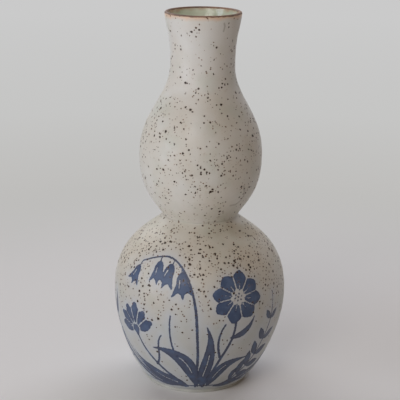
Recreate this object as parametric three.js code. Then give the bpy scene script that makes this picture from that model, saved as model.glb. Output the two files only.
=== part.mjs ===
// A double-gourd bottle vase of glazed stoneware: a round lower bulb, a smaller upper bulb
// collared into a neck, and a flared mouth. Millimetres, +Z up, with the origin at the middle
// of the foot ring's underside.
//
// The vase is round, so every piece is a closed section turned about Z. All sections come from
// one outline, that of the glazed outside, and from layers laid at a depth under it: the outer
// glaze, the stoneware wall and the liner glaze. Neighbours take their shared edge from the same
// call, so they meet face to face with no gap and no overlap.
import * as THREE from "three";

// Radii of the outside, from the foot to the mouth.
const BASE_R = 27.6;
const BELLY_R = 46.1;
const WAIST_R = 19.5;
const UPPER_R = 32.4;
const NECK_R = 16.9;
const MOUTH_R = 19.95;

// Heights of the stretches that stand on each other. Together they make the vase's 200 mm.
const FOOT_HEIGHT = 2;
const BELLY_RISE = 48.8;
const SHOULDER_RISE = 41.2;
const UPPER_RISE = 33;
const COLLAR_RISE = 47.5;
const FLARE_RISE = 27.5;

// Directions of the outside where it isn't upright, in degrees from upright.
const BASE_ANGLE = 42;
const SHOULDER_ANGLE = 49.9;
const WAIST_ANGLE = 35.9;
const FLARE_ANGLE = 5.1;

// How far each stretch holds the direction of its ends, as shares of its rise.
const BASE_HOLD = 0.133;
const BELLY_HOLD_BELOW = 0.482;
const BELLY_HOLD_ABOVE = 0.631;
const SHOULDER_HOLD = 0.314;
const WAIST_HOLD = 0.357;
const UPPER_HOLD_BELOW = 0.517;
const UPPER_HOLD_ABOVE = 0.473;
const NECK_HOLD_BELOW = 0.355;
const NECK_HOLD_ABOVE = 0.607;
const FLARE_HOLD = 0.319;

// The crease at the waist is eased this far up and down.
const WAIST_EASE = 1;

// The wall: two coats of glaze on stoneware, which is thrown thinner towards the lip.
const GLAZE = 0.4;
const WALL = 3.5;
const LIP_WALL = 1;

// The bottom: a foot ring set in from the base, and a floor whose inside is rounded up to the wall.
const FOOT_INSET = 0.2;
const FOOT_WIDTH = 5.4;
const FOOT_EDGE = 0.6;
const FLOOR = 5;
const WELL_RISE = 4;

// Facets: sides round the axis, and steps along each stretch.
const SIDES = 40;
const LONG_STEPS = 6;
const SHORT_STEPS = 4;
const SEAM_STEPS = 2;
const LIP_STEPS = 4;
const WELL_STEPS = 3;

// Points of a section closer than this are one point.
const MERGE = 0.01;

const point = (r, z) => new THREE.Vector2(r, z);

// A step of a given length, at an angle from upright: positive angles lean away from the axis.
function lean(angle, length) {
  const a = THREE.MathUtils.degToRad(angle);
  return point(Math.sin(a) * length, Math.cos(a) * length);
}

// Heights that the stretches reach, one above the other.
const bellyZ = FOOT_HEIGHT + BELLY_RISE;
const waistZ = bellyZ + SHOULDER_RISE;
const upperZ = waistZ + UPPER_RISE;
const neckZ = upperZ + COLLAR_RISE;
const topZ = neckZ + FLARE_RISE;

// The lip is a half round on the end of the flared wall, and its top is the vase's height.
const lipThickness = LIP_WALL + 2 * GLAZE;
const lipCentre = point(MOUTH_R - lipThickness / 2, topZ - lipThickness / 2);
const lipOutward = lean(FLARE_ANGLE + 90, 1);

// The places that the outline passes through.
const base = point(BASE_R, FOOT_HEIGHT);
const belly = point(BELLY_R, bellyZ);
const waist = point(WAIST_R, waistZ);
const waistBelow = waist.clone().sub(lean(-SHOULDER_ANGLE, WAIST_EASE));
const waistAbove = waist.clone().add(lean(WAIST_ANGLE, WAIST_EASE));
const upper = point(UPPER_R, upperZ);
const neck = point(NECK_R, neckZ);
const mouth = lipCentre.clone().addScaledVector(lipOutward, lipThickness / 2);

// A curve from one place to the next, which leaves and arrives in given directions.
function curve(from, leave, arrive, to) {
  return new THREE.CubicBezierCurve(from, from.clone().add(leave), to.clone().sub(arrive), to);
}

// The stretches of the outline, from foot to mouth, each with its number of steps.
const belowBelly = curve(
  base,
  lean(BASE_ANGLE, BASE_HOLD * BELLY_RISE),
  lean(0, BELLY_HOLD_BELOW * BELLY_RISE),
  belly,
);
const shoulder = curve(
  belly,
  lean(0, BELLY_HOLD_ABOVE * SHOULDER_RISE),
  lean(-SHOULDER_ANGLE, SHOULDER_HOLD * SHOULDER_RISE),
  waistBelow,
);
const crease = new THREE.QuadraticBezierCurve(waistBelow, waist, waistAbove);
const upperSwell = curve(
  waistAbove,
  lean(WAIST_ANGLE, WAIST_HOLD * UPPER_RISE),
  lean(0, UPPER_HOLD_BELOW * UPPER_RISE),
  upper,
);
const collar = curve(
  upper,
  lean(0, UPPER_HOLD_ABOVE * COLLAR_RISE),
  lean(0, NECK_HOLD_BELOW * COLLAR_RISE),
  neck,
);
const flare = curve(
  neck,
  lean(0, NECK_HOLD_ABOVE * FLARE_RISE),
  lean(FLARE_ANGLE, FLARE_HOLD * FLARE_RISE),
  mouth,
);
const lowerCurves = [
  [belowBelly, LONG_STEPS],
  [shoulder, LONG_STEPS],
];
const seamCurves = [[crease, SEAM_STEPS]];
const upperCurves = [
  [upperSwell, SHORT_STEPS],
  [collar, LONG_STEPS],
  [flare, SHORT_STEPS],
];

// Stations along some curves: a point of the outline, and the direction from it into the wall.
// Curves that follow others go on from the last station of those.
function stationsAlong(curves, last) {
  const stations = last ? [last] : [];
  for (const [stretch, steps] of curves) {
    for (let step = stations.length ? 1 : 0; step <= steps; step++) {
      const along = stretch.getTangent(step / steps);
      stations.push({ at: stretch.getPoint(step / steps), inward: point(-along.y, along.x) });
    }
  }
  return stations;
}

const lowerStations = stationsAlong(lowerCurves);
const seamStations = stationsAlong(seamCurves, lowerStations.at(-1));
const upperStations = stationsAlong(upperCurves, seamStations.at(-1));
upperStations.at(-1).inward = lipOutward.clone().negate();
const aboveWaist = [...seamStations, ...upperStations.slice(1)];
const allStations = [...lowerStations, ...aboveWaist.slice(1)];

// Thickness of the stoneware at a height: full to the upper bulb, and then thinning to the lip.
function wallAt(z) {
  const share = THREE.MathUtils.clamp((z - upperZ) / (mouth.y - upperZ), 0, 1);
  return THREE.MathUtils.lerp(WALL, LIP_WALL, share);
}

// Depths of the four surfaces under the outline, at a height.
const outside = () => 0;
const underOuterGlaze = () => GLAZE;
const underLiner = (z) => GLAZE + wallAt(z);
const inside = (z) => 2 * GLAZE + wallAt(z);

// A surface at a depth under the outline, as points upwards.
function layer(stations, depth) {
  return stations.map(({ at, inward }) => at.clone().addScaledVector(inward, depth(at.y)));
}

// The inside of the lower bulb at a depth: from the axis along the floor, rounded up to the wall,
// and up to the waist.
function well(depth, bottomZ) {
  const wall = layer(lowerStations, depth).filter((p) => p.y >= bottomZ + WELL_RISE);
  const [start, next] = wall;
  const run = next.clone().sub(start);
  const corner = start.clone().addScaledVector(run, (bottomZ - start.y) / run.y);
  const floorEdge = point(corner.x - corner.distanceTo(start), bottomZ);
  const rounding = new THREE.QuadraticBezierCurve(floorEdge, corner, start).getPoints(WELL_STEPS);
  return [point(0, bottomZ), ...rounding, ...wall.slice(1)];
}

// The half round of the lip, from the outside over the top to the inside.
function lipArc(radius) {
  const points = [];
  for (let step = 0; step <= LIP_STEPS; step++) {
    const turn = (step / LIP_STEPS) * Math.PI;
    const spoke = lipOutward.clone().rotateAround(point(0, 0), turn);
    points.push(lipCentre.clone().addScaledVector(spoke, radius));
  }
  return points;
}

const down = (points) => [...points].reverse();

// One node: a closed section, given outwards along its bottom and then up its outside, turned
// about Z.
function turned(name, section, material) {
  const loop = section.filter((p, i) => !i || p.distanceTo(section[i - 1]) > MERGE);
  if (loop[0].x > 0) loop.push(loop[0].clone());
  const geometry = new THREE.LatheGeometry(loop, SIDES);
  geometry.rotateX(Math.PI / 2);
  const mesh = new THREE.Mesh(geometry, material);
  mesh.name = name;
  return mesh;
}

const stoneware = new THREE.MeshStandardMaterial({ color: 0xb9a68c, roughness: 0.9, metalness: 0 });
const slip = new THREE.MeshStandardMaterial({ color: 0xc7b79f, roughness: 0.95, metalness: 0 });
const speckledGlaze = new THREE.MeshStandardMaterial({ color: 0xcdc8be, roughness: 0.4, metalness: 0 });
const celadonGlaze = new THREE.MeshStandardMaterial({ color: 0xb3bdab, roughness: 0.12, metalness: 0 });
const ironGlaze = new THREE.MeshStandardMaterial({ color: 0x7d5b41, roughness: 0.35, metalness: 0 });

const floorZ = FOOT_HEIGHT + FLOOR;
const floorGlazeZ = floorZ + GLAZE;

// The foot ring that the vase stands on, with its two lower edges eased.
function footRing() {
  const outerR = BASE_R - FOOT_INSET;
  const innerR = outerR - FOOT_WIDTH;
  const section = [
    point(innerR + FOOT_EDGE, 0),
    point(outerR - FOOT_EDGE, 0),
    point(outerR, FOOT_EDGE),
    point(outerR, FOOT_HEIGHT),
    point(innerR, FOOT_HEIGHT),
    point(innerR, FOOT_EDGE),
  ];
  return turned("foot_ring", section, stoneware);
}

// The thrown lower bulb: flat below, its outside up to the waist, and its inside down to the floor.
function lowerBulb() {
  const wall = layer(lowerStations, underOuterGlaze);
  const section = [
    point(0, FOOT_HEIGHT),
    point(wall[0].x, FOOT_HEIGHT),
    ...wall,
    ...down(well(underLiner, floorZ)),
  ];
  return turned("lower_bulb", section, stoneware);
}

// The ring of clay and slip that lutes the two bulbs together at the waist.
function waistSeam() {
  const section = [...layer(seamStations, underOuterGlaze), ...down(layer(seamStations, underLiner))];
  return turned("waist_seam", section, slip);
}

// The thrown upper bulb with the neck and the bare lip.
function upperBulb() {
  const section = [
    ...layer(upperStations, underOuterGlaze),
    ...lipArc(LIP_WALL / 2),
    ...down(layer(upperStations, underLiner)),
  ];
  return turned("upper_bulb_and_neck", section, stoneware);
}

// The speckled coat on the outside, from the foot ring to the lip.
function outerGlaze() {
  const section = [...layer(allStations, outside), ...down(layer(allStations, underOuterGlaze))];
  return turned("outer_glaze", section, speckledGlaze);
}

// The iron-brown coat round the lip, between the outer glaze and the liner.
function lipBand() {
  const section = [...lipArc(lipThickness / 2), ...down(lipArc(LIP_WALL / 2))];
  return turned("lip_band", section, ironGlaze);
}

// The celadon coat on the inside, from the lip to the floor.
function linerGlaze() {
  const section = [
    ...well(underLiner, floorZ),
    ...layer(aboveWaist, underLiner).slice(1),
    ...down(layer(aboveWaist, inside)),
    ...down(well(inside, floorGlazeZ)).slice(1),
  ];
  return turned("liner_glaze", section, celadonGlaze);
}

const vase = new THREE.Group();
vase.add(footRing(), lowerBulb(), waistSeam(), upperBulb(), outerGlaze(), lipBand(), linerGlaze());

export default vase;
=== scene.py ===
"""A double-gourd bottle vase of thrown stoneware, with a speckled glaze, an iron-brown lip, a celadon
liner and a blue painting of daisies, hanging bells, a fern and leaves.

Everything is turned about Z. The outline is the model's own, worked out here as smooth curves, and each
piece is a closed shell between two depths under it. Shapes are in millimetres until they become a mesh.
"""
import math

import bpy
import numpy as np
from mathutils import Matrix


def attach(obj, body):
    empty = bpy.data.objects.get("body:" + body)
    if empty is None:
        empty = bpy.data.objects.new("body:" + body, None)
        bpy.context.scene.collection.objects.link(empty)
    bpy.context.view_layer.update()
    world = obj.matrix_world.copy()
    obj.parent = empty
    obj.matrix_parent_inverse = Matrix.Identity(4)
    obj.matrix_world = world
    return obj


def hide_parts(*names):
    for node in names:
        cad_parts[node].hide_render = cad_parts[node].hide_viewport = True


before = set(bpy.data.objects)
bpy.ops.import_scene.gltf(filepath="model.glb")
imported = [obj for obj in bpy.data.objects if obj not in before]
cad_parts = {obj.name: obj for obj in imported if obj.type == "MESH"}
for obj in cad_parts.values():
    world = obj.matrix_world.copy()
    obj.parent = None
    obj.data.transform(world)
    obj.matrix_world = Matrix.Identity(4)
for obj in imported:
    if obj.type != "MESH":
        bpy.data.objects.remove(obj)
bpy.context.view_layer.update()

MM = 0.001
BODY = "root"

# The outside: radii, the rises of the stretches that stand on each other, the angles from upright at which
# they leave or arrive, how far each stretch holds its direction at its two ends, and how far the crease at
# the waist is rounded each way.
BASE_R = 27.6
BELLY_R = 46.1
WAIST_R = 19.5
UPPER_R = 32.4
NECK_R = 16.9
MOUTH_R = 19.95
FOOT_HEIGHT = 2
BELLY_Z = FOOT_HEIGHT + 48.8
WAIST_Z = BELLY_Z + 41.2
UPPER_Z = WAIST_Z + 33
NECK_Z = UPPER_Z + 47.5
TOP_Z = NECK_Z + 27.5
BASE_ANGLE = 52
SHOULDER_ANGLE = 49.9
WAIST_ANGLE = 35.9
FLARE_ANGLE = 5.1
BASE_HOLD = 8.6
BELLY_HOLD_BELOW = 20.2
BELLY_HOLD_ABOVE = 26
SHOULDER_HOLD = 12.94
WAIST_HOLD = 11.78
UPPER_HOLD_BELOW = 17.06
UPPER_HOLD_ABOVE = 22.47
NECK_HOLD_BELOW = 16.86
NECK_HOLD_ABOVE = 16.69
MOUTH_HOLD = 8.77
WAIST_EASE = 1

# The wall and the bottom: the coats and the clay, the foot ring, the floor's height, how far the inside
# rounds up from it, the foot's rounded edges, and a distance under which two places are one.
GLAZE = 0.4
WALL = 3.5
LIP_WALL = 1
LIP = LIP_WALL + 2 * GLAZE
FOOT_R = 27.4
FOOT_INNER_R = 22
FLOOR_Z = 7
WELL_RISE = 4
FOOT_EDGE = 0.6
MERGE = 0.001

# How the vase left the potter's hands. Its axis stands sideways by so much at these heights, averaged over
# so far up and down, and the base leans to the left. Then the pitch and depth of the throwing ridges, how
# far the walls are out of round, how far from the foot and from the lip both have died away, the pitch and
# depth of the turning marks under the foot, and how far the middle there is hollow.
WANDER_Z = (0, 42, 88, 122, 150, 175, 200)
WANDER_X = (-1.4, -0.08, -0.25, -0.32, -0.15, 0.2, 0.2)
WANDER_SPAN = 12
THROWING_RING = 6.5
THROWING_DEPTH = 0.05
UNEVEN = 0.12
CALM_AT_FOOT = 12
CALM_AT_LIP = 10
TURNING_PITCH = 1.7
TURNING_DEPTH = 0.07
UNDER_HOLLOW = 0.5

# The painting: fine lines left bare, the painted ring, how far the wash spreads and how strong it is, how
# the hand strays, how high it reaches along the outline, its tones, the value at a shape's edge, how far a
# spray reaches to either side as an angle, how late a petal swells, and how flat an open flower lies.
VEIN = 0.3
RING_Z = 5.5
RING_LINE = 0.7
WASH_REACH = 3
WASH_SHARE = 0.45
HAND_WANDER = 0.25
PAINTED_TO = 88
LEAF = 0
PETAL = 0.5
PALE = 1
EDGE = 2
SPRAY_REACH = 1.75
PETAL_SWELL = 1.5
DAISY_SQUASH = 0.93
FAR = 99.0

# How fine the pieces are: the steps of a stretch and of the lip, the columns round the axis, those of the
# painted coat and how much they crowd towards the front, and the rows of each face.
STRETCH_STEPS = 200
LIP_STEPS = 14
ROUND = 192
PAINTED_ROUND = 512
CROWDING = 0.4
RING_ROWS = 25
RING_ROWS_TO = 8
PAINTED_ROWS = 134
SHOULDER_ROWS = 26
FACE_ROWS = 150
CLAY_ROWS = 60
LINER_BACK_ROWS = 70
UPPER_BACK_ROWS = 24
THIN_ROWS = 8
UNDER_RINGS = 80
FLOOR_SIDES = 96

# Colours, as they look in plain light, but for the painted shade in the crease and the painted shadow under
# it.
GLAZE_MOUTH = "d6d5d1"
GLAZE_NECK = "d2d1cb"
GLAZE_WAIST = "d4d1c9"
# The next two glaze colours darken the crease: partly glaze pooled there, partly painted shade.
CREASE_GLAZE_AND_SHADE = "c6c3ba"
POOLED_GLAZE_AND_SHADE = "bab7ae"
GLAZE_SHOULDER = "cdcac1"
GLAZE_FOOT = "bbbdba"
WARM_TINT = "fbf8f4"
COOL_TINT = "f5f8f5"
IRON_BLEED = "b5a282"
COBALT_WASH = "b9c2d1"
LIP_PEACH = "dcc0a8"
PETAL_INK = "3e4e6c"
PETAL_EDGE = "353f5c"
LEAF_INK = "4c546a"
LEAF_EDGE = "3a4056"
THIN_INK = "50617f"
SPECK_BROWN = "3a2412"
SPECK_DARK = "2c1b0c"
SPECK_RUST = "704a2c"
SPECK_HALO = "a88662"
CELADON = "d6dccc"
CELADON_DEEP = "c9d2c0"
CELADON_TAN = "c8ae96"
IRON_BROWN = "84695a"
IRON_DARK = "6c584d"
IRON_ORANGE = "967866"
DRIP_BROWN = "6b4a35"
STREAK_GREY = "6f6557"
# A painted shadow: the tint for the shade that the upper bulb casts on the shoulder under the crease.
CREASE_SHADOW_TINT = "e4ded4"
CLAY_PALE = "b9bab3"
CLAY_DARK = "a9aaa4"
SLIP_PALE = "cdc0ab"
SLIP_DARK = "bcae98"
GROG = "e2ddd2"
FLOOR_GREY = "e1e1e1"

# The glaze's colour, darker towards the foot and in the crease, where it is partly pooled glaze and partly
# painted shade, and the share of its cells that hold a speck, each by share of the height. Then how much the
# iron tints the glaze between the specks.
GLAZE_BY_HEIGHT = (
    (0.22, GLAZE_FOOT), (0.36, GLAZE_SHOULDER), (0.43, GLAZE_SHOULDER), (0.456, CREASE_GLAZE_AND_SHADE),
    (0.46, POOLED_GLAZE_AND_SHADE), (0.465, GLAZE_WAIST), (0.52, GLAZE_WAIST), (0.58, GLAZE_NECK), (0.7, GLAZE_NECK),
    (0.86, GLAZE_MOUTH),
)
SPECKS_BY_HEIGHT = (
    (0, 0.06), (0.2, 0.1), (0.3, 0.45), (0.35, 0.74), (0.42, 0.7), (0.455, 0.3), (0.5, 0.17),
    (0.56, 0.34), (0.7, 0.38), (0.78, 0.28), (0.88, 0.24), (1, 0.14),
)
RUST_SHARE = 0.13

# The iron specks, layer by layer: the spacing of the cells that may hold one, the widest radius, how many
# cells hold one against the glaze's own share, and at most, the seed that shifts the layer, and the colour
# of its widest specks. Then how fine their ragged edges are, how far those are shaken, the smallest size and
# the full core as shares of the radius, and how wide the halos are and how strong.
SPECKS = (
    (1.2, 0.38, 0.75, 1, 23, SPECK_BROWN),
    (1.5, 0.6, 1, 0.6, 3, SPECK_DARK),
    (2.6, 0.8, 1.3, 0.5, 11, SPECK_DARK),
)
SPECK_RAGGED = 0.7
SPECK_SHAKE = 0.9
SPECK_LEAST = 0.45
SPECK_CORE = 0.9
HALO = 1.8
HALO_STRENGTH = 0.14

# Small marks, each a line through points at these angles and heights: of the firing, a drip of iron over the
# lip, a grey streak on the neck and a faint arc low on the upper bulb; and a painted shadow under the crease
# on the right, where the upper bulb casts its shade on the shoulder. Then how far each reaches from its
# line, how far it stays full as a share of that, and the strength of the faint ones.
DRIP = ((3.4, TOP_Z), (7.2, TOP_Z - 1.4))
STREAK = ((33, 196), (35, 194.5), (33.7, 192))
ARC = ((45.5, 113), (50, 108), (48.5, 104.6), (43, 102.6), (35, 102.6))
# The painted shadow under the crease, on the right of the shoulder.
CAST_SHADOW_UNDER_CREASE = ((50, 87.5), (62, 86.5), (74, 85.5))
DRIP_REACH = 0.45
STREAK_REACH = 0.7
ARC_REACH = 1
CAST_SHADOW_REACH = 8
MARK_CORE = 0.3
STREAK_SHARE = 0.4
ARC_SHARE = 0.35

# The camera that took in the vase, and the picture's long side in pixels.
CAMERA_RIGHT = -0.42
CAMERA_BACK = 650.4
CAMERA_UP = 284.1
CAMERA_PITCH = 15.86
CAMERA_ROLL = 0.66
FOCAL_PIXELS = 1266.3
PICTURE_PIXELS = 400
SENSOR = 36

# The light: each round lamp's name, azimuth, elevation, distance, width, level and colour, and whether the
# glaze mirrors it. At level 1 a surface that faces it shows its colour as written. Azimuth 0 comes from
# the camera's side, and -90 from the left. All of them face the middle of the vase.
LAMPS = (
    ("high key", -20, 30, 800, 450, 0.32, "fff9f3", True),
    ("low key", -60, 8, 800, 450, 0.37, "e8f1ff", True),
    ("left rear", -150, 40, 1000, 800, 0.36, "f6fbff", True),
    ("right rear", 150, 38, 1000, 800, 0.43, "f0f4ff", False),
)
ROOM_LEVEL = 0.1
ROOM_COLOUR = "ffc481"

# The floor: how far it reaches, where it starts and ends to fade into the pale background, and the
# background's greys at these distances.
FLOOR_REACH = 4000
FADE_FROM = 130
FADE_TO = 420
BACKGROUND_GREYS = ((250, "b8b7b5"), (420, "bfbebc"), (700, "c5c5c4"), (1500, "cacaca"))


def heading(turn):
    """A step of length 1 at an angle from upright, in radians."""
    return np.array([math.sin(turn), math.cos(turn)])


def lean(angle, length):
    """A step of that length at an angle from upright in degrees, positive away from the axis."""
    return length * heading(math.radians(angle))


def bezier(corners, steps):
    """Points along the Bezier curve of some corners: neighbours are averaged until one point is left."""
    share = np.linspace(0, 1, steps + 1)[:, None]
    rows = [np.broadcast_to(corner, (steps + 1, 2)) for corner in np.asarray(corners, float)]
    while len(rows) > 1:
        rows = [a + (b - a) * share for a, b in zip(rows, rows[1:])]
    return rows[0]


def stretch(start, leave, arrive, end):
    """A cubic curve from start to end that leaves and arrives in given directions."""
    start, end = np.array(start, float), np.array(end, float)
    return bezier([start, start + leave, end - arrive, end], STRETCH_STEPS)


def joined(*paths):
    """Paths end to end, with each shared point once."""
    return np.concatenate([paths[0]] + [path[1:] for path in paths[1:]])


def arc_lengths(path):
    """How far along the path each of its points lies."""
    return np.concatenate([[0], np.cumsum(np.hypot(*np.diff(path, axis=0).T))])


def at_lengths(path, lengths):
    """Points of the path at given distances along it."""
    known = arc_lengths(path)
    return np.stack([np.interp(lengths, known, path[:, axis]) for axis in (0, 1)], 1)


def evenly(path, count):
    """The path as count equal steps."""
    return at_lengths(path, np.linspace(0, arc_lengths(path)[-1], count + 1))


def under(path, depth):
    """The path moved into the wall by a depth: each point goes along the inward normal there."""
    along = np.gradient(path, axis=0)
    along /= np.hypot(*along.T)[:, None]
    inward = np.stack([-along[:, 1], along[:, 0]], 1)
    return path + inward * np.reshape(depth, (-1, 1))


def wall_at(z):
    """Thickness of the clay at a height: it thins from the upper bulb to the lip."""
    return np.interp(z, (UPPER_Z, LIP_CENTRE[1]), (WALL, LIP_WALL))


LIP_CENTRE = np.array([MOUTH_R - LIP / 2, TOP_Z - LIP / 2])
LIP_OUTWARD = lean(FLARE_ANGLE + 90, 1)
MOUTH = LIP_CENTRE + LIP_OUTWARD * LIP / 2
BELLY = (BELLY_R, BELLY_Z)
WIDEST = (UPPER_R, UPPER_Z)
NECK = (NECK_R, NECK_Z)
WAIST = np.array([WAIST_R, WAIST_Z])
WAIST_BELOW = WAIST - lean(-SHOULDER_ANGLE, WAIST_EASE)
WAIST_ABOVE = WAIST + lean(WAIST_ANGLE, WAIST_EASE)

LOWER = joined(
    stretch((BASE_R, FOOT_HEIGHT), lean(BASE_ANGLE, BASE_HOLD), lean(0, BELLY_HOLD_BELOW), BELLY),
    stretch(BELLY, lean(0, BELLY_HOLD_ABOVE), lean(-SHOULDER_ANGLE, SHOULDER_HOLD), WAIST_BELOW),
)
CREASE = bezier([WAIST_BELOW, WAIST, WAIST_ABOVE], 40)
UPPER = joined(
    stretch(WAIST_ABOVE, lean(WAIST_ANGLE, WAIST_HOLD), lean(0, UPPER_HOLD_BELOW), WIDEST),
    stretch(WIDEST, lean(0, UPPER_HOLD_ABOVE), lean(0, NECK_HOLD_BELOW), NECK),
    stretch(NECK, lean(0, NECK_HOLD_ABOVE), lean(FLARE_ANGLE, MOUTH_HOLD), MOUTH),
)
OUTSIDE = joined(LOWER, CREASE, UPPER)


def layer(path, coats):
    """The surface under the clay wall and so many coats of glaze."""
    return under(path, coats * GLAZE + wall_at(path[:, 1]))


def well(coats, bottom_z):
    """The inside of the lower bulb: along the floor from the axis, rounded up, and up to the waist."""
    wall = layer(LOWER, coats)
    wall = wall[wall[:, 1] >= bottom_z + WELL_RISE]
    run = wall[1] - wall[0]
    corner = wall[0] + run * (bottom_z - wall[0][1]) / run[1]
    reach = math.hypot(*(corner - wall[0]))
    edge = np.array([corner[0] - reach, bottom_z])
    return joined(np.array([[0, bottom_z], edge]), bezier([edge, corner, wall[0]], 12), wall)


def lip_arc(radius):
    """The half round of the lip: a spoke turned from outside over the top to inside."""
    turn = np.linspace(0, math.pi, LIP_STEPS + 1)[:, None]
    across = np.array([-LIP_OUTWARD[1], LIP_OUTWARD[0]])
    return LIP_CENTRE + radius * (np.cos(turn) * LIP_OUTWARD + np.sin(turn) * across)


def wander(z):
    """Sideways shift of the axis at a height: the given places, averaged over WANDER_SPAN up and down."""
    fine = np.linspace(-20, TOP_Z + 20, 481)
    steps = round(WANDER_SPAN / (fine[1] - fine[0]))
    shift = np.interp(fine, WANDER_Z, WANDER_X)
    window = np.hanning(2 * steps + 1)
    smooth = np.convolve(np.pad(shift, steps, mode="edge"), window / window.sum(), mode="valid")
    return np.interp(z, fine, smooth)


def column_angles(count, crowding=0.0):
    """Angles round the axis, 0 at the front and growing to the right, crowded towards the front."""
    turn = np.linspace(-math.pi, math.pi, count, endpoint=False)
    return turn - crowding * np.sin(turn)


def thrown(z, angles):
    """What the potter's hands add to a radius: a fine spiral ridge, and walls slightly out of round.

    Both die away at the foot and the lip, and neither reaches past the widest radius.
    """
    ridge = THROWING_DEPTH * (np.sin(2 * math.pi * z / THROWING_RING - angles) - 1) / 2
    round_off = UNEVEN * (np.sin(2 * angles + z / 31) + np.sin(3 * angles - z / 17 + 2) - 2) / 4
    above_foot = np.clip((z - FOOT_HEIGHT) / CALM_AT_FOOT, 0, 1)
    below_lip = np.clip((TOP_Z - z) / CALM_AT_LIP, 0, 1)
    return (ridge + round_off) * (above_foot * below_lip)


def placed(name, data):
    """A new object of that name in the scene."""
    thing = bpy.data.objects.new(name, data)
    bpy.context.scene.collection.objects.link(thing)
    return thing


def turned(name, section, columns, corners=(), lift=None):
    """A piece turned about Z from its section, which runs outwards along the bottom, up the outside and
    back inside, and either closes on itself or has both ends on the axis.

    A point at radius r, height z and angle a becomes (r sin a, -r cos a, z). corners are the section's
    points whose rings stay sharp, and lift adds to the heights, as a function of radii and angles.
    """
    solid = section[0, 0] < MERGE
    rings = section[1:-1] if solid else section
    radius, height = (np.repeat(rings[:, axis:axis + 1], len(columns), axis=1) for axis in (0, 1))
    if lift:
        height = height + lift(radius, height, columns)
    radius = radius + thrown(height, columns)
    x = radius * np.sin(columns) + wander(height)
    points = np.stack([x, -radius * np.cos(columns), height], -1).reshape(-1, 3)

    index = np.arange(radius.size).reshape(radius.shape)
    lower = index[:-1] if solid else index
    upper = index[1:] if solid else np.roll(index, -1, axis=0)
    quads = np.stack([lower, np.roll(lower, -1, axis=1), np.roll(upper, -1, axis=1), upper], -1)
    faces = quads.reshape(-1, 4).tolist()
    if solid:
        bottom, top = len(points), len(points) + 1
        poles = [[wander(z), 0, z] for z in section[[0, -1], 1]]
        points = np.concatenate([points, poles])
        faces += [[bottom, a, b] for a, b in zip(index[0], np.roll(index[0], 1))]
        faces += [[top, a, b] for a, b in zip(np.roll(index[-1], 1), index[-1])]

    mesh = bpy.data.meshes.new(name)
    mesh.from_pydata((points * MM).tolist(), [], faces)
    mesh.shade_smooth()
    ends = np.zeros(len(mesh.edges) * 2, np.int32)
    mesh.edges.foreach_get("vertices", ends)
    ring = ends.reshape(-1, 2) // len(columns)
    sharp = np.isin(ring[:, 0], np.array(corners) - solid) & (ring[:, 0] == ring[:, 1])
    mesh.edges.foreach_set("use_edge_sharp", sharp)
    return placed(name, mesh)


def stand_for(piece, node, material):
    """The piece takes its node's place, rides on the body and wears its material."""
    piece.data.materials.append(material)
    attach(piece, BODY)
    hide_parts(node)


# The painting is laid out flat: across is the angle times the belly's radius, and up is the length along
# the outline from the base. Each shape gives how far a flat point lies outside it, in millimetres.

def distance(flat, point):
    """How far flat points lie from a point."""
    return np.hypot(*np.moveaxis(flat - point, -1, 0))


def stroke(flat, path, widths):
    """Distance outside a brush stroke: the least, over the path's stretches, of the distance to the
    stretch less its half-width at the nearest place."""
    nearest = np.full(flat.shape[:-1], FAR)
    for start, end, wide, narrow in zip(path, path[1:], widths, widths[1:]):
        run = end - start
        share = np.clip((flat - start) @ run / (run @ run), 0, 1)
        away = distance(flat - start, share[..., None] * run)
        reach = away - wide - (narrow - wide) * share
        nearest = np.minimum(nearest, reach)
    return nearest


def stem(flat, corners, foot, tip):
    """A stem along a curve, with its half-width at the foot and at the tip."""
    path = bezier(corners, 14)
    return stroke(flat, path, np.linspace(foot, tip, len(path)))


def blade(flat, corners, width, vein=True):
    """A lance leaf along a curve: its half-width swells as the sine of the share along it, widest before
    the middle, and a bare vein runs up its lower half."""
    path = bezier(corners, 16)
    share = np.linspace(0, 1, len(path))
    leaf = stroke(flat, path, 0.25 + width / 2 * np.sin(math.pi * share ** 0.75) ** 1.2)
    if not vein:
        return leaf
    return np.maximum(leaf, -stroke(flat, path[4:11], np.full(7, VEIN)))


def petal(flat, root, angle, length, width):
    """A round-ended petal: half-width as the sine of the share along it to a power, widest near the tip.
    It has a short bare line from its root, and its tone pales towards there as a square."""
    share = np.linspace(0, 1, 10)
    path = root + np.outer(share * length, heading(angle))
    swell = np.sin(math.pi * np.clip(share, 0, 0.9) ** PETAL_SWELL)
    shape = stroke(flat, path, 0.15 + width / 2 * swell)
    away = distance(flat, root)
    tone = PETAL + (PALE - PETAL) * np.clip(1.1 - 1.2 * away / length, 0, 1) ** 2
    return np.maximum(shape, -stroke(flat, path[1:5], np.linspace(VEIN, 0.12, 4))), tone


def daisy(flat, centre, radius, petals, turn):
    """An open flower seen from the front: broad petals with bare lines between them, and a dotted eye."""
    centre = np.array(centre, float)
    level = centre + (flat - centre) / [1, DAISY_SQUASH]
    eye = radius * 0.16
    bare = np.full(flat.shape[:-1], FAR)
    for k in range(petals):
        angle = turn + 2 * math.pi * (k + 0.5) / petals
        path = centre + np.outer([eye, radius * 0.6, radius], heading(angle))
        bare = np.minimum(bare, stroke(level, path, [VEIN * 1.3, VEIN, VEIN * 0.8]))
    gives = []
    for k in range(petals):
        angle = turn + 2 * math.pi * k / petals
        root = centre + eye * 1.5 * heading(angle)
        length = (radius - eye * 1.5) * (0.83 + 0.05 * math.sin(5 * k + turn))
        shape, tone = petal(level, root, angle, length, radius * 4.6 / petals)
        gives.append((np.maximum(shape, -bare), tone))
    for k in range(7):
        angle = turn + math.pi * k / 3
        place = centre + (eye * 0.8 * heading(angle) if k else 0)
        gives.append((distance(level, place) - 0.5, LEAF))
    return gives


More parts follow.
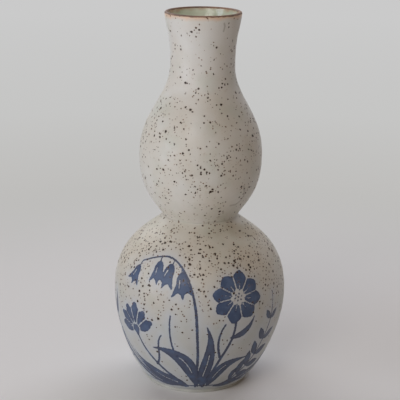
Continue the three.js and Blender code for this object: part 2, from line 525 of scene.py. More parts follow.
def side_daisy(flat, root, tilt, length):
    """A flower seen from the side: petals fanned above a dark cup."""
    root = np.array(root, float)
    spreads = np.linspace(-1.3, 1.3, 6)
    bare = np.abs(distance(flat, root) - 3.1) - VEIN
    for angle in tilt + (spreads[1:] + spreads[:-1]) / 2:
        line = root + np.outer([0.2 * length, 1.2 * length], heading(angle))
        bare = np.minimum(bare, stroke(flat, line, [VEIN, VEIN]))
    gives = []
    for k, spread in enumerate(spreads):
        reach = length * (0.95 - 0.1 * abs(spread) + 0.06 * (k % 2))
        shape, tone = petal(flat, root, tilt + spread, reach, length * 0.5)
        gives.append((np.maximum(shape, -bare), tone))
    up = heading(tilt)
    cup = stroke(flat, [root - up * 3, root - up * 0.3], [1, 2.6])
    return gives + [(cup, LEAF)]


def bell(flat, top, tilt, size):
    """A hanging bell flower: a round cup whose rim flares to three pointed lobes, with a bare streak. Its
    tone pales from the cap to the rim."""
    down = np.array([math.sin(tilt), -math.cos(tilt)])
    side = np.array([-down[1], down[0]])
    top = np.array(top, float)
    mouth = top + down * size * 0.7
    cup = stroke(flat, np.linspace(top, mouth, 6), size * np.array([0.07, 0.24, 0.3, 0.31, 0.32, 0.33]))
    for k in (-1, 0, 1):
        root = mouth + size * (0.14 * k * side - 0.1 * down)
        tip = mouth + size * (0.52 * k * side + (0.52 - 0.14 * abs(k)) * down)
        cup = np.minimum(cup, stroke(flat, [root, tip], [size * 0.22, size * 0.04]))
    line = [top + size * (0.3 * down - 0.12 * side), mouth - size * 0.17 * side]
    streak = stroke(flat, line, [VEIN * 0.9, VEIN * 0.7])
    tone = PETAL + (PALE - PETAL) * 0.7 * np.clip((flat - top) @ down / size, 0, 1)
    return [(np.maximum(cup, -streak), tone)]


def bell_sprig(flat, corners, bells, size):
    """An arching stem, with bells that hang one after another from its far end."""
    path = bezier(corners, 30)
    gives = [(stroke(flat, path, np.linspace(0.85, 0.4, len(path))), LEAF)]
    for k, place in enumerate(np.linspace(19, 30, bells).astype(int)):
        start = path[place]
        swing = 0.2 * (-1) ** k - 0.1
        hang = start + np.array([math.sin(swing), -math.cos(swing)]) * size * 0.38
        gives.append((stroke(flat, [start, hang], [0.35, 0.4]), LEAF))
        gives += bell(flat, hang, swing, size * (1.1 - 0.3 * k / bells))
    return gives


def frond(flat, corners, pairs, reach):
    """A fern frond: leaflets in pairs along a curved rib, which shorten towards its tip."""
    path = bezier(corners, 2 * pairs + 4)
    gives = [(stroke(flat, path, np.linspace(0.8, 0.3, len(path))), LEAF)]
    for k in range(pairs):
        start = path[2 * k + 4]
        ahead = path[min(2 * k + 5, len(path) - 1)] - path[2 * k + 3]
        onward = math.atan2(ahead[0], ahead[1])
        long = reach * math.sin(math.pi * (0.3 + 0.6 * k / pairs)) + 1.5
        for side in (-1, 1):
            way = onward + side * 0.8
            tip = start + long * heading(way)
            bend = start + long * 0.5 * heading(way + side * 0.15)
            widths = long * np.array([0.02, 0.1, 0.19, 0.23, 0.2, 0.12, 0.02])
            gives.append((stroke(flat, bezier([start, bend, tip], 6), widths), LEAF))
    return gives


def front_spray(flat):
    """The painting in front: an open flower on the right, one seen from the side low on the left, bells
    that hang above it, a fern, and lance leaves and grasses at the foot."""
    gives = []
    gives += [(stem(flat, [(5, 4), (9, 20), (18, 30), (20, 50)], 1.1, 0.6), LEAF)]
    gives += daisy(flat, (21, 62), 14.5, 8, 0.2)
    gives += [(stem(flat, [(-9, 4), (-18, 16), (-32, 20), (-37, 37)], 1, 0.6), LEAF)]
    gives += side_daisy(flat, (-38, 40), -0.25, 13.5)
    gives += bell_sprig(flat, [(-1, 4), (2, 62), (-3, 96), (-38, 78)], 4, 9.6)
    gives += frond(flat, [(14, 4), (28, 8), (44, 16), (46, 60)], 6, 10)
    gives += [(blade(flat, corners, width), LEAF) for corners, width in (
        ([(1, 4), (-4, 22), (-10, 33), (-27, 31)], 8.5),
        ([(4, 4), (1, 18), (12, 30), (4, 47)], 7.5),
        ([(-6, 4), (-16, 9), (-32, 10), (-46, 24)], 7.5),
        ([(8, 4), (11, 16), (17, 24), (31, 25)], 7),
        ([(15, 3.5), (30, 6), (46, 8), (61, 24)], 6),
        ([(-14, 4), (-33, 5), (-52, 12), (-60, 34)], 6),
    )]
    gives += [(stem(flat, corners, 0.75, 0.4), LEAF) for corners in (
        [(-2, 14), (-14, 26), (-18, 38), (-15, 52)],
        [(13, 28), (11, 34), (9, 42), (14, 48)],
        [(-27, 20), (-21, 26), (-25, 34), (-21, 40)],
        [(-16, 4), (-40, 12), (-58, 26), (-66, 54)],
        [(30, 5), (52, 10), (68, 22), (75, 46)],
    )]
    gives += [(blade(flat, corners, width, vein=False), LEAF) for corners, width in (
        ([(-50, 19), (-56, 22), (-59, 27), (-56, 35)], 4),
        ([(-61, 31), (-67, 33), (-71, 38), (-71, 45)], 3.8),
        ([(-64, 40), (-60, 44), (-57, 49), (-59, 56)], 3.4),
        ([(17, 40), (24, 40), (29, 43), (31, 50)], 3.4),
        ([(66, 26), (63, 32), (64, 39), (68, 44)], 3.6),
    )]
    return gives


def back_spray(flat):
    """A plainer spray behind: one open flower, its leaves and a fern."""
    gives = [(stem(flat, [(0, 4), (-4, 22), (-14, 34), (-13, 46)], 1.1, 0.6), LEAF)]
    gives += daisy(flat, (-13, 59), 13, 8, 0.5)
    gives += frond(flat, [(4, 4), (12, 20), (24, 34), (24, 60)], 9, 7)
    gives += [(blade(flat, corners, width), LEAF) for corners, width in (
        ([(-2, 4), (-12, 16), (-24, 24), (-40, 25)], 7.5),
        ([(1, 4), (3, 16), (-3, 28), (5, 42)], 6),
        ([(6, 4), (20, 10), (36, 14), (50, 30)], 6.5),
    )]
    return gives


def side_tuft(flat):
    """A low tuft between the two sprays: three blades and two grasses."""
    gives = [(blade(flat, corners, width, vein=False), LEAF) for corners, width in (
        ([(0, 4), (-2, 12), (-7, 22), (-16, 27)], 5),
        ([(2, 4), (4, 14), (9, 26), (9, 38)], 5),
        ([(3, 4), (10, 10), (18, 14), (28, 18)], 4.6),
    )]
    gives += [(stem(flat, corners, 0.6, 0.35), LEAF) for corners in (
        [(0, 4), (-1, 18), (-5, 32), (-12, 44)],
        [(3, 4), (8, 20), (15, 28), (19, 40)],
    )]
    return gives


def painted(piece, section, columns, lengths):
    """Stores the painting on the glaze coat's outer rings, one value for each vertex.

    edge is EDGE at a shape's edge, grows by 1 for each mm into it, and is 0 far outside it. tone goes from
    LEAF over PETAL to PALE.
    wash falls from 1 at a shape as the exponential of the distance over WASH_REACH.
    """
    across, up = np.meshgrid(columns, lengths)
    height = section[:len(lengths), 1][:, None]
    gap = np.full(across.shape, FAR)
    tones = np.zeros(across.shape)
    sprays = ((front_spray, 0), (back_spray, math.pi), (side_tuft, -1.75), (side_tuft, 1.85))
    for spray, place in sprays:
        turn = (across - place + math.pi) % (2 * math.pi) - math.pi
        hand = HAND_WANDER * np.stack([np.sin(up / 5.3 + 9 * turn), np.sin(up / 7.1 - 12 * turn)], -1)
        flat = np.stack([turn * BELLY_R, up], -1) + hand
        near = np.abs(turn) < SPRAY_REACH
        for shape, tone in spray(flat[near]):
            nearer = shape < gap[near]
            tones[near] = np.where(nearer, tone, tones[near])
            gap[near] = np.minimum(gap[near], shape)
    ring = np.abs(height - RING_Z - 0.15 * np.sin(2 * across + 1)) - RING_LINE / 2
    gap = np.minimum(gap, ring)
    for name, values in (
        ("edge", np.clip(EDGE - gap, 0, 3 * EDGE)),
        ("tone", tones),
        ("wash", np.exp(-np.clip(gap, 0, FAR) / WASH_REACH)),
    ):
        whole = np.zeros(len(piece.data.vertices), np.float32)
        whole[:values.size] = values.ravel()
        piece.data.attributes.new(name, "FLOAT", "POINT").data.foreach_set("value", whole)


def linear(text):
    """An sRGB colour such as "c8c2b6" as linear red, green, blue and alpha."""
    parts = [int(text[i:i + 2], 16) / 255 for i in (0, 2, 4)]
    return tuple(c / 12.92 if c <= 0.04045 else ((c + 0.055) / 1.055) ** 2.4 for c in parts) + (1,)


def add(tree, kind, links=None, out=0, stops=(), **settings):
    """Adds a node with its settings, and gives the output asked for.

    links gives each input, by name or number, a value or a socket. stops are a ramp's places and colours.
    """
    made = tree.nodes.new(kind)
    for name, value in settings.items():
        setattr(made, name, value)
    for place, value in (links or {}).items():
        if isinstance(value, bpy.types.NodeSocket):
            tree.links.new(value, made.inputs[place])
        else:
            made.inputs[place].default_value = value
    for number, (place, colour) in enumerate(stops):
        elements = made.color_ramp.elements
        element = elements[number] if number < 2 else elements.new(place)
        element.position = place
        element.color = colour
    return made.outputs[out]


# Settings: a product, one with a sum, a mix of two colours by a share, one that multiplies them, and a soft
# ramp.
TIMES = {"operation": "MULTIPLY"}
TIMES_PLUS = {"operation": "MULTIPLY_ADD"}
MIX = {"out": 2, "data_type": "RGBA"}
TINT = {"out": 2, "data_type": "RGBA", "blend_type": "MULTIPLY"}
SOFT = {"interpolation_type": "SMOOTHSTEP"}


def blank_material(name, roughness, specular):
    """A material with its tree, and its object coordinates in millimetres."""
    material = bpy.data.materials.new(name)
    material.use_nodes = True
    tree = material.node_tree
    shader = tree.nodes["Principled BSDF"]
    shader.inputs["Roughness"].default_value = roughness
    shader.inputs["Specular IOR Level"].default_value = specular
    place = add(tree, "ShaderNodeTexCoord", out="Object")
    millimetres = add(tree, "ShaderNodeVectorMath", {0: place, "Scale": 1 / MM}, operation="SCALE")
    return material, tree, millimetres


def surfaced(material, colour, relief, depth, rough=None):
    """The material, once its surface has that colour, a relief so many millimetres deep, and a roughness."""
    tree = material.node_tree
    surface = tree.nodes["Principled BSDF"].inputs
    bump = add(tree, "ShaderNodeBump", {"Height": relief, "Distance": depth * MM, "Strength": 1})
    tree.links.new(colour, surface["Base Color"])
    tree.links.new(bump, surface["Normal"])
    if rough is not None:
        tree.links.new(rough, surface["Roughness"])
    return material


def cloud(tree, place, size, low=0.35, high=0.65):
    """Soft patches of about that size in millimetres, from 0 to 1."""
    noise = add(tree, "ShaderNodeTexNoise", {"Vector": place, "Scale": 1 / size, "Detail": 2.0})
    return add(tree, "ShaderNodeMapRange", {0: noise, 1: low, 2: high}, **SOFT)


def specks(tree, place, spacing, radius, density, seed):
    """Dots where a random point lies within that radius of the surface, one point to a cell of that spacing.

    A cell holds a dot where its own random number is under the density, and a second one sets its size. The
    surface is first shaken by a fine noise, which leaves the dots ragged. Gives the dots, the halos that
    fade out round them, and that size from 0 to 1.
    """
    shake = add(tree, "ShaderNodeTexNoise", {"Vector": place, "Scale": 1 / SPECK_RAGGED}, out=1)
    ragged = add(tree, "ShaderNodeVectorMath", {0: shake, 1: (SPECK_SHAKE,) * 3, 2: place}, **TIMES_PLUS)
    moved = add(tree, "ShaderNodeVectorMath", {0: ragged, 1: (seed, 2 * seed, 3 * seed)}, operation="ADD")
    cell = add(tree, "ShaderNodeTexVoronoi", {"Vector": moved, "Scale": 1 / spacing})
    both = add(tree, "ShaderNodeSeparateColor", {0: cell.node.outputs["Color"]})
    chance, size = both.node.outputs[0], both.node.outputs[1]
    widest = radius / spacing
    reach = add(tree, "ShaderNodeMapRange", {0: size, 3: SPECK_LEAST * radius / spacing, 4: widest})
    held = add(tree, "ShaderNodeMath", {0: chance, 1: density}, operation="LESS_THAN")
    inner = add(tree, "ShaderNodeMath", {0: reach, 1: SPECK_CORE}, **TIMES)
    outer = add(tree, "ShaderNodeMath", {0: reach, 1: HALO}, **TIMES)
    dot = add(tree, "ShaderNodeMapRange", {0: cell, 1: inner, 2: reach, 3: held, 4: 0})
    halo = add(tree, "ShaderNodeMapRange", {0: cell, 1: reach, 2: outer, 3: held, 4: 0})
    return dot, halo, size


def fired_mark(tree, place, points, reach):
    """A fine mark through points at some angles and heights: 1 along it, and 0 that far from it.

    The distance is the least, over the lines from point to point, of the distance to the line.
    """
    turn, height = np.radians([angle for angle, _ in points]), np.array([z for _, z in points])
    radius = np.interp(height, OUTSIDE[:, 1], OUTSIDE[:, 0])
    path = np.stack([radius * np.sin(turn), -radius * np.cos(turn), height], 1)
    nearest = FAR
    for start, end in zip(path, path[1:]):
        run = end - start
        gone = add(tree, "ShaderNodeVectorMath", {0: place, 1: start}, operation="SUBTRACT")
        share = add(tree, "ShaderNodeVectorMath", {0: gone, 1: run / (run @ run)}, out="Value",
                    operation="DOT_PRODUCT")
        within = add(tree, "ShaderNodeClamp", {0: share})
        along = add(tree, "ShaderNodeVectorMath", {0: run, "Scale": within}, operation="SCALE")
        away = add(tree, "ShaderNodeVectorMath", {0: gone, 1: along}, out="Value", operation="DISTANCE")
        nearest = add(tree, "ShaderNodeMath", {0: nearest, 1: away}, operation="MINIMUM")
    return add(tree, "ShaderNodeMapRange", {0: nearest, 1: MARK_CORE * reach, 2: reach, 3: 1, 4: 0}, **SOFT)


def speckled_glaze():
    """Feldspar glaze on an iron-bearing stoneware, fired in reduction: a warm grey-white satin coat with
    iron spots that bled through it, and cobalt and iron pigment brushed under it."""
    material, tree, place = blank_material("speckled satin glaze", 0.42, 0.4)
    height = add(tree, "ShaderNodeSeparateXYZ", {0: place}, out=2)
    share_up = add(tree, "ShaderNodeMath", {0: height, 1: TOP_Z}, operation="DIVIDE")

    # The glaze's colour by height, with a darker band in the crease that is partly pooled glaze and partly
    # painted shade, warm and cool patches, and a painted shadow that the upper bulb casts under the crease.
    stops = [(share, linear(colour)) for share, colour in GLAZE_BY_HEIGHT]
    ground = add(tree, "ShaderNodeValToRGB", {0: share_up}, stops=stops)
    warm = add(tree, "ShaderNodeMix", {0: cloud(tree, place, 22), 6: ground, 7: linear(WARM_TINT)}, **TINT)
    cool = cloud(tree, place, 13, 0.45, 0.75)
    cooled = add(tree, "ShaderNodeMix", {0: cool, 6: warm, 7: linear(COOL_TINT)}, **TINT)
    # Painted shadow: the glaze darkens where the upper bulb casts its shade on the shoulder under the
    # crease.
    shadowed = fired_mark(tree, place, CAST_SHADOW_UNDER_CREASE, CAST_SHADOW_REACH)
    body = add(tree, "ShaderNodeMix", {0: shadowed, 6: cooled, 7: linear(CREASE_SHADOW_TINT)}, **TINT)

    # How many specks there are, fewer where the wash lies, and the tints of the rust and the wash.
    stops = [(share, (cells, cells, cells, 1)) for share, cells in SPECKS_BY_HEIGHT]
    density = add(tree, "ShaderNodeValToRGB", {0: share_up}, stops=stops)
    gathered = add(tree, "ShaderNodeMath", {0: density, 1: cloud(tree, place, 11, 0.25, 0.6)}, **TIMES)
    wash = add(tree, "ShaderNodeAttribute", out="Fac", attribute_name="wash")
    clear = add(tree, "ShaderNodeMapRange", {0: wash, 1: 0.3, 2: 0.9, 3: 1, 4: 0.25})
    many = add(tree, "ShaderNodeMath", {0: gathered, 1: clear}, **TIMES)
    rusty = add(tree, "ShaderNodeMath", {0: many, 1: RUST_SHARE}, **TIMES)
    bleed = add(tree, "ShaderNodeMix", {0: rusty, 6: body, 7: linear(IRON_BLEED)}, **MIX)
    blue = add(tree, "ShaderNodeMath", {0: wash, 1: WASH_SHARE}, **TIMES)
    washed = add(tree, "ShaderNodeMix", {0: blue, 6: bleed, 7: linear(COBALT_WASH)}, **MIX)

    # The peach blush where the iron of the lip runs down.
    runny = cloud(tree, place, 5, 0.2, 0.8)
    bleeding = add(tree, "ShaderNodeMath", {0: runny, 1: 1.4, 2: height}, **TIMES_PLUS)
    peach = add(tree, "ShaderNodeMapRange", {0: bleeding, 1: TOP_Z - 2.5, 2: TOP_Z - 0.4})
    coat = add(tree, "ShaderNodeMix", {0: peach, 6: washed, 7: linear(LIP_PEACH)}, **MIX)

    # The brushed pigment: darker along a shape's edge, thin in patches, and a little ragged outside.
    edge = add(tree, "ShaderNodeAttribute", out="Fac", attribute_name="edge")
    tone = add(tree, "ShaderNodeAttribute", out="Fac", attribute_name="tone")
    pigment, pooled = (add(tree, "ShaderNodeValToRGB", {0: tone}, stops=[
        (LEAF, linear(leaf)), (PETAL, linear(petal)), (PALE, linear(pale)),
    ]) for leaf, petal, pale in ((LEAF_INK, PETAL_INK, THIN_INK), (LEAF_EDGE, PETAL_EDGE, PETAL_INK)))
    depth = add(tree, "ShaderNodeMapRange", {0: edge, 1: EDGE + 0.1, 2: EDGE + 1.1}, **SOFT)
    brushed = add(tree, "ShaderNodeMix", {0: depth, 6: pooled, 7: pigment}, **MIX)
    watery = cloud(tree, place, 3.5, 0.4, 0.8)
    thin = add(tree, "ShaderNodeMix", {0: watery, 6: brushed, 7: linear(THIN_INK)}, **MIX)
    fringe = cloud(tree, place, 0.9, 0.2, 0.8)
    ragged = add(tree, "ShaderNodeMath", {0: fringe, 1: 0.3, 2: edge}, **TIMES_PLUS)
    inked = add(tree, "ShaderNodeMapRange", {0: ragged, 1: EDGE - 0.05, 2: EDGE + 0.3}, **SOFT)
    painting = add(tree, "ShaderNodeMix", {0: inked, 6: coat, 7: thin}, **MIX)

    # The fired marks, and the specks with their halos on top.
    streak = fired_mark(tree, place, STREAK, STREAK_REACH)
    streaks = add(tree, "ShaderNodeMath", {0: streak, 1: STREAK_SHARE}, **TIMES)
    streaked = add(tree, "ShaderNodeMix", {0: streaks, 6: painting, 7: linear(STREAK_GREY)}, **MIX)
    arc = fired_mark(tree, place, ARC, ARC_REACH)
    arcs = add(tree, "ShaderNodeMath", {0: arc, 1: ARC_SHARE}, **TIMES)
    arched = add(tree, "ShaderNodeMix", {0: arcs, 6: streaked, 7: linear(STREAK_GREY)}, **MIX)
    dripped = fired_mark(tree, place, DRIP, DRIP_REACH)
    colour = add(tree, "ShaderNodeMix", {0: dripped, 6: arched, 7: linear(DRIP_BROWN)}, **MIX)
    dots = []
    for spacing, radius, share, most, seed, dark in SPECKS:
        wanted = add(tree, "ShaderNodeMath", {0: many, 1: share}, **TIMES)
        held = add(tree, "ShaderNodeMath", {0: wanted, 1: most}, operation="MINIMUM")
        dot, halo, size = specks(tree, place, spacing, radius, held, seed)
        faint = add(tree, "ShaderNodeMath", {0: halo, 1: HALO_STRENGTH}, **TIMES)
        colour = add(tree, "ShaderNodeMix", {0: faint, 6: colour, 7: linear(SPECK_HALO)}, **MIX)
        large = add(tree, "ShaderNodeMapRange", {0: size, 2: 0.5})
        tint = add(tree, "ShaderNodeMix", {0: large, 6: linear(SPECK_RUST), 7: linear(dark)}, **MIX)
        colour = add(tree, "ShaderNodeMix", {0: dot, 6: colour, 7: tint}, **MIX)
        dots.append(dot)

    # The relief: the larger specks are pits in a softly uneven skin.
    pits = add(tree, "ShaderNodeMath", {0: dots[1], 1: dots[2]}, operation="ADD")
    skin = add(tree, "ShaderNodeTexNoise", {"Vector": place, "Scale": 1 / 2.6, "Detail": 3.0})
    relief = add(tree, "ShaderNodeMath", {0: pits, 1: -0.35, 2: skin}, **TIMES_PLUS)
    rough = add(tree, "ShaderNodeMapRange", {0: cloud(tree, place, 9), 3: 0.36, 4: 0.5})
    return surfaced(material, colour, relief, 0.09, rough)


def celadon_glaze():
    """Liner glaze, poured in and swilled round: thick, glossy and pale grey-green, and tan where it thins
    under the iron lip."""
    material, tree, place = blank_material("glossy celadon liner glaze", 0.12, 0.4)
    height = add(tree, "ShaderNodeSeparateXYZ", {0: place}, out=2)
    deep = cloud(tree, place, 12)
    pool = add(tree, "ShaderNodeMix", {0: deep, 6: linear(CELADON), 7: linear(CELADON_DEEP)}, **MIX)
    running = cloud(tree, place, 5)
    ragged = add(tree, "ShaderNodeMath", {0: running, 1: 1.5, 2: height}, **TIMES_PLUS)
    near_lip = add(tree, "ShaderNodeMapRange", {0: ragged, 1: TOP_Z - 2.4, 2: TOP_Z + 0.6}, **SOFT)
    thin = add(tree, "ShaderNodeMix", {0: near_lip, 6: pool, 7: linear(CELADON_TAN)}, **MIX)
    dot = specks(tree, place, 2.6, 0.5, 0.05, 5)[0]
    colour = add(tree, "ShaderNodeMix", {0: dot, 6: thin, 7: linear(SPECK_RUST)}, **MIX)
    skin = add(tree, "ShaderNodeTexNoise", {"Vector": place, "Scale": 1 / 5, "Detail": 1.0})
    return surfaced(material, colour, skin, 0.4)


def iron_glaze():
    """Iron oxide wiped round the lip: brown where it lies thick along the top, orange where the heat thinned
    it, and a pale stain down both flanks."""
    material, tree, place = blank_material("iron oxide lip glaze", 0.5, 0.3)
    x, y, height = (add(tree, "ShaderNodeSeparateXYZ", {0: place}, out=k) for k in range(3))
    flat = add(tree, "ShaderNodeCombineXYZ", {0: x, 1: y})
    radius = add(tree, "ShaderNodeVectorMath", {0: flat}, out="Value", operation="LENGTH")
    outward = add(tree, "ShaderNodeMapRange", {0: radius, 1: MOUTH_R - 1.6, 2: MOUTH_R - 0.8})
    flank = add(tree, "ShaderNodeMix", {0: outward, 6: linear(CELADON_TAN), 7: linear(LIP_PEACH)}, **MIX)
    dark = cloud(tree, place, 3.2)
    thick = add(tree, "ShaderNodeMix", {0: dark, 6: linear(IRON_BROWN), 7: linear(IRON_DARK)}, **MIX)
    burnt = cloud(tree, place, 14, 0.45, 0.65)
    warm = add(tree, "ShaderNodeMix", {0: burnt, 6: thick, 7: linear(IRON_ORANGE)}, **MIX)
    brushed = cloud(tree, place, 1.8)
    ragged = add(tree, "ShaderNodeMath", {0: brushed, 1: 0.25, 2: height}, **TIMES_PLUS)
    covered = add(tree, "ShaderNodeMapRange", {0: ragged, 1: TOP_Z - 0.85, 2: TOP_Z - 0.5}, **SOFT)
    banded = add(tree, "ShaderNodeMix", {0: covered, 6: flank, 7: warm}, **MIX)
    dripped = fired_mark(tree, place, DRIP, DRIP_REACH)
    colour = add(tree, "ShaderNodeMix", {0: dripped, 6: banded, 7: linear(DRIP_BROWN)}, **MIX)
    rough = add(tree, "ShaderNodeMapRange", {0: cloud(tree, place, 2), 3: 0.45, 4: 0.6})
    skin = add(tree, "ShaderNodeTexNoise", {"Vector": place, "Scale": 1 / 1.2, "Detail": 2.0})
    return surfaced(material, colour, skin, 0.08, rough)


def stoneware(name, pale, dark):
    """Bare fired stoneware, turned on the wheel: matt, pale and sandy, with grog and iron spots."""
    material, tree, place = blank_material(name, 0.85, 0.3)
    body = add(tree, "ShaderNodeMix", {0: cloud(tree, place, 9), 6: linear(pale), 7: linear(dark)}, **MIX)
    grains = add(tree, "ShaderNodeTexNoise", {"Vector": place, "Scale": 1 / 0.45, "Detail": 4.0})
    gritty = add(tree, "ShaderNodeMapRange", {0: grains, 1: 0.55, 2: 0.75, 3: 0, 4: 0.4})
    sandy = add(tree, "ShaderNodeMix", {0: gritty, 6: body, 7: linear(GROG)}, **MIX)
    dot = specks(tree, place, 1.9, 0.4, 0.45, 7)[0]
    colour = add(tree, "ShaderNodeMix", {0: dot, 6: sandy, 7: linear(SPECK_DARK)}, **MIX)
    return surfaced(material, colour, grains, 0.12)


def shell(outer, inner):
    """A closed section: up the outer path, and back down the inner one."""
    return np.concatenate([outer, inner[::-1]])


def shell_corners(outer, inner):
    """The points of that section where its rims are, in the order turned() counts them."""
    return [0, len(outer) - 1, len(outer), len(outer) + len(inner) - 1]


def glaze_coats(material):
    """The outer glaze in two coats that meet in the crease. The lower one is fine enough to hold the
    painting's edges, and finer in front than behind."""
    half = len(CREASE) // 2
    below = joined(LOWER, CREASE[:half + 1])
    reach = arc_lengths(below)[-1]
    lengths = np.concatenate([
        np.linspace(0, RING_ROWS_TO, RING_ROWS, endpoint=False),
        np.linspace(RING_ROWS_TO, PAINTED_TO, PAINTED_ROWS, endpoint=False),
        np.linspace(PAINTED_TO, reach, SHOULDER_ROWS),
    ])
    outer = at_lengths(below, lengths)
    inner = evenly(under(below, GLAZE), THIN_ROWS)
    inner = np.concatenate([[[inner[0, 0], FOOT_HEIGHT]], inner[1:]])
    columns = column_angles(PAINTED_ROUND, CROWDING)
    section = shell(outer, inner)
    lower = turned("glazed_lower_bulb", section, columns, shell_corners(outer, inner))
    painted(lower, section, columns, lengths)

    above = joined(CREASE[half:], UPPER)
    outer = evenly(above, FACE_ROWS)
    inner = evenly(under(above, GLAZE), UPPER_BACK_ROWS)
    columns = column_angles(ROUND)
    upper = turned("glazed_upper_bulb_and_neck", shell(outer, inner), columns, shell_corners(outer, inner))
    for coat in (lower, upper):
        stand_for(coat, "outer_glaze", material)


def lip(material):
    """The iron band: the half round of the lip, one coat thick."""
    outer, inner = lip_arc(LIP / 2), lip_arc(LIP / 2 - GLAZE)
    band = turned("iron_lip", shell(outer, inner), column_angles(ROUND), shell_corners(outer, inner))
    stand_for(band, "lip_band", material)


def inside_path(coats, bottom_z):
    """The inside at so many coats under the outline and under the wall, from the floor's middle up."""
    return joined(well(coats, bottom_z), layer(CREASE, coats), layer(UPPER, coats))


def liner(material):
    """The liner glaze: one coat over the floor, the wall and the neck, up to the iron band."""
    under_side = evenly(inside_path(1, FLOOR_Z), LINER_BACK_ROWS)
    face = evenly(inside_path(2, FLOOR_Z + GLAZE), FACE_ROWS)
    section = shell(under_side, face)
    coat = turned("celadon_liner", section, column_angles(ROUND), [len(under_side) - 1, len(under_side)])
    stand_for(coat, "liner_glaze", material)


def turning_marks(radius, height, angles):
    """The spiral of the turning tool under the foot: a lift as a sine of radius less angle, with the
    middle a little hollow."""
    below = height < FOOT_HEIGHT + MERGE
    spiral = TURNING_DEPTH * (1 + np.sin(2 * math.pi * radius / TURNING_PITCH - angles))
    hollow = UNDER_HOLLOW * np.clip(1 - (radius / FOOT_INNER_R) ** 2, 0, 1)
    return np.where(below & (radius < FOOT_INNER_R), spiral + hollow, 0)


def clay_body(bare, slip):
    """The thrown clay under the glazes, and the ring of slip that joins the two bulbs."""
    coated = under(LOWER, GLAZE)
    reach = np.linspace(0, coated[0, 0], UNDER_RINGS)
    underside = np.stack([reach, np.full(UNDER_RINGS, FOOT_HEIGHT)], 1)
    outer = joined(underside, evenly(coated[coated[:, 1] > FOOT_HEIGHT], CLAY_ROWS))
    floor = well(1, FLOOR_Z)
    section = np.concatenate([outer, evenly(floor, CLAY_ROWS)[::-1]])
    columns = column_angles(ROUND)
    lower = turned("clay_lower_bulb", section, columns, [len(underside) - 1], turning_marks)
    stand_for(lower, "lower_bulb", bare)

    ring = shell(evenly(under(CREASE, GLAZE), THIN_ROWS), evenly(layer(CREASE, 1), THIN_ROWS))
    seam = turned("clay_waist_seam", ring, columns)
    stand_for(seam, "waist_seam", slip)

    outer = joined(evenly(under(UPPER, GLAZE), CLAY_ROWS), lip_arc(LIP / 2 - GLAZE))
    inner = evenly(layer(UPPER, 1), CLAY_ROWS)[:-1]
    upper = turned("clay_upper_bulb_and_neck", shell(outer, inner), columns)
    stand_for(upper, "upper_bulb_and_neck", bare)


def foot(bare):
    """The turned foot ring: a flat band to stand on, with its two lower edges rounded over."""
    turn = np.linspace(0, math.pi / 2, 6)
    curl = FOOT_EDGE * np.stack([np.cos(turn), np.sin(turn)], 1)
    inner_edge = np.array([FOOT_INNER_R + FOOT_EDGE, FOOT_EDGE]) - curl
    outer_edge = np.array([FOOT_R - FOOT_EDGE, FOOT_EDGE]) + curl[::-1] * [1, -1]
    top = np.array([[FOOT_R, FOOT_HEIGHT], [FOOT_INNER_R, FOOT_HEIGHT]])
    section = np.concatenate([inner_edge, outer_edge, top])
    ring = turned("turned_foot_ring", section, column_angles(ROUND), [len(section) - 2, len(section) - 1])
    stand_for(ring, "foot_ring", bare)


def seen(tree):
    """1 where the camera, a reflection or glass sees the surface, and 0 for the light that it gives."""
    path = add(tree, "ShaderNodeLightPath", out="Is Camera Ray")
    glossy, through = (path.node.outputs[name] for name in ("Is Glossy Ray", "Is Transmission Ray"))
    either = add(tree, "ShaderNodeMath", {0: path, 1: glossy}, operation="MAXIMUM")
    return add(tree, "ShaderNodeMath", {0: either, 1: through}, operation="MAXIMUM")


def matt_floor():
    """The floor: matt pale card, wide enough to fill every view, that fades into the background."""
    material, tree, place = blank_material("matt pale card", 1.0, 0)
    shader = tree.nodes["Principled BSDF"]
    shader.inputs["Base Color"].default_value = linear(FLOOR_GREY)
    away = add(tree, "ShaderNodeVectorMath", {0: place}, out="Value", operation="LENGTH")
    far = add(tree, "ShaderNodeMapRange", {0: away, 1: FADE_FROM, 2: FADE_TO}, **SOFT)
    share = add(tree, "ShaderNodeMath", {0: away, 1: FLOOR_REACH}, operation="DIVIDE")
    stops = [(mm / FLOOR_REACH, linear(colour)) for mm, colour in BACKGROUND_GREYS]
    greys = add(tree, "ShaderNodeValToRGB", {0: share}, stops=stops)
    pale = add(tree, "ShaderNodeEmission", {"Color": greys})
    faded = add(tree, "ShaderNodeMath", {0: far, 1: seen(tree)}, **TIMES)
    card = add(tree, "ShaderNodeMixShader", {0: faded, 1: shader.outputs[0], 2: pale})
    tree.links.new(card, tree.nodes["Material Output"].inputs["Surface"])
    around = np.linspace(0, 2 * math.pi, FLOOR_SIDES, endpoint=False)
    rim = np.stack([np.cos(around), np.sin(around), np.zeros(FLOOR_SIDES)], 1) * FLOOR_REACH * MM
    mesh = bpy.data.meshes.new("floor")
    mesh.from_pydata(rim.tolist(), [], [list(range(FLOOR_SIDES))])
    mesh.materials.append(material)
    placed("floor", mesh)


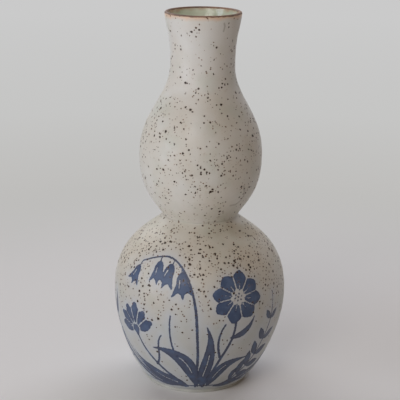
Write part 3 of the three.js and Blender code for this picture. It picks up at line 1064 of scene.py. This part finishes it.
def studio_light():
    """Two soft keys from the front left, two soft lamps behind, and a faint warm room all round."""
    middle = Matrix.Translation((0, 0, TOP_Z / 2 * MM))
    for name, azimuth, elevation, distance, width, level, colour, mirrored in LAMPS:
        lamp = bpy.data.lights.new(name, "AREA")
        lamp.shape = "DISK"
        lamp.size = width * MM
        lamp.energy = level * (math.pi * distance * MM) ** 2
        lamp.color = linear(colour)[:3]
        holder = placed(name, lamp)
        around = Matrix.Rotation(math.radians(azimuth), 4, "Z")
        raised = Matrix.Rotation(math.radians(90 - elevation), 4, "X")
        holder.matrix_world = middle @ around @ raised @ Matrix.Translation((0, 0, distance * MM))
        holder.visible_camera = False
        holder.visible_glossy = mirrored

    world = bpy.data.worlds.new("pale room")
    world.use_nodes = True
    tree = world.node_tree
    room = tree.nodes["Background"]
    room.inputs["Color"].default_value = linear(ROOM_COLOUR)
    room.inputs["Strength"].default_value = ROOM_LEVEL
    pale = add(tree, "ShaderNodeBackground", {"Color": linear(BACKGROUND_GREYS[-1][1]), "Strength": 1})
    both = add(tree, "ShaderNodeMixShader", {0: seen(tree), 1: room.outputs[0], 2: pale})
    tree.links.new(both, tree.nodes["World Output"].inputs["Surface"])
    bpy.context.scene.world = world


def camera():
    """The camera: in front, above, pitched down and rolled a little, with the photograph's long lens."""
    lens = bpy.data.cameras.new("camera")
    lens.sensor_width = SENSOR
    lens.lens = FOCAL_PIXELS / PICTURE_PIXELS * SENSOR
    holder = placed("camera", lens)
    pitch = Matrix.Rotation(math.radians(90 - CAMERA_PITCH), 4, "X")
    roll = Matrix.Rotation(math.radians(CAMERA_ROLL), 4, "Z")
    place = Matrix.Translation((CAMERA_RIGHT * MM, -CAMERA_BACK * MM, CAMERA_UP * MM))
    holder.matrix_world = place @ pitch @ roll
    bpy.context.scene.camera = holder


glaze_coats(speckled_glaze())
lip(iron_glaze())
liner(celadon_glaze())
bare_clay = stoneware("bare turned stoneware", CLAY_PALE, CLAY_DARK)
clay_body(bare_clay, stoneware("joining slip", SLIP_PALE, SLIP_DARK))
foot(bare_clay)
matt_floor()
studio_light()
camera()
bpy.context.scene.view_settings.view_transform = "Standard"
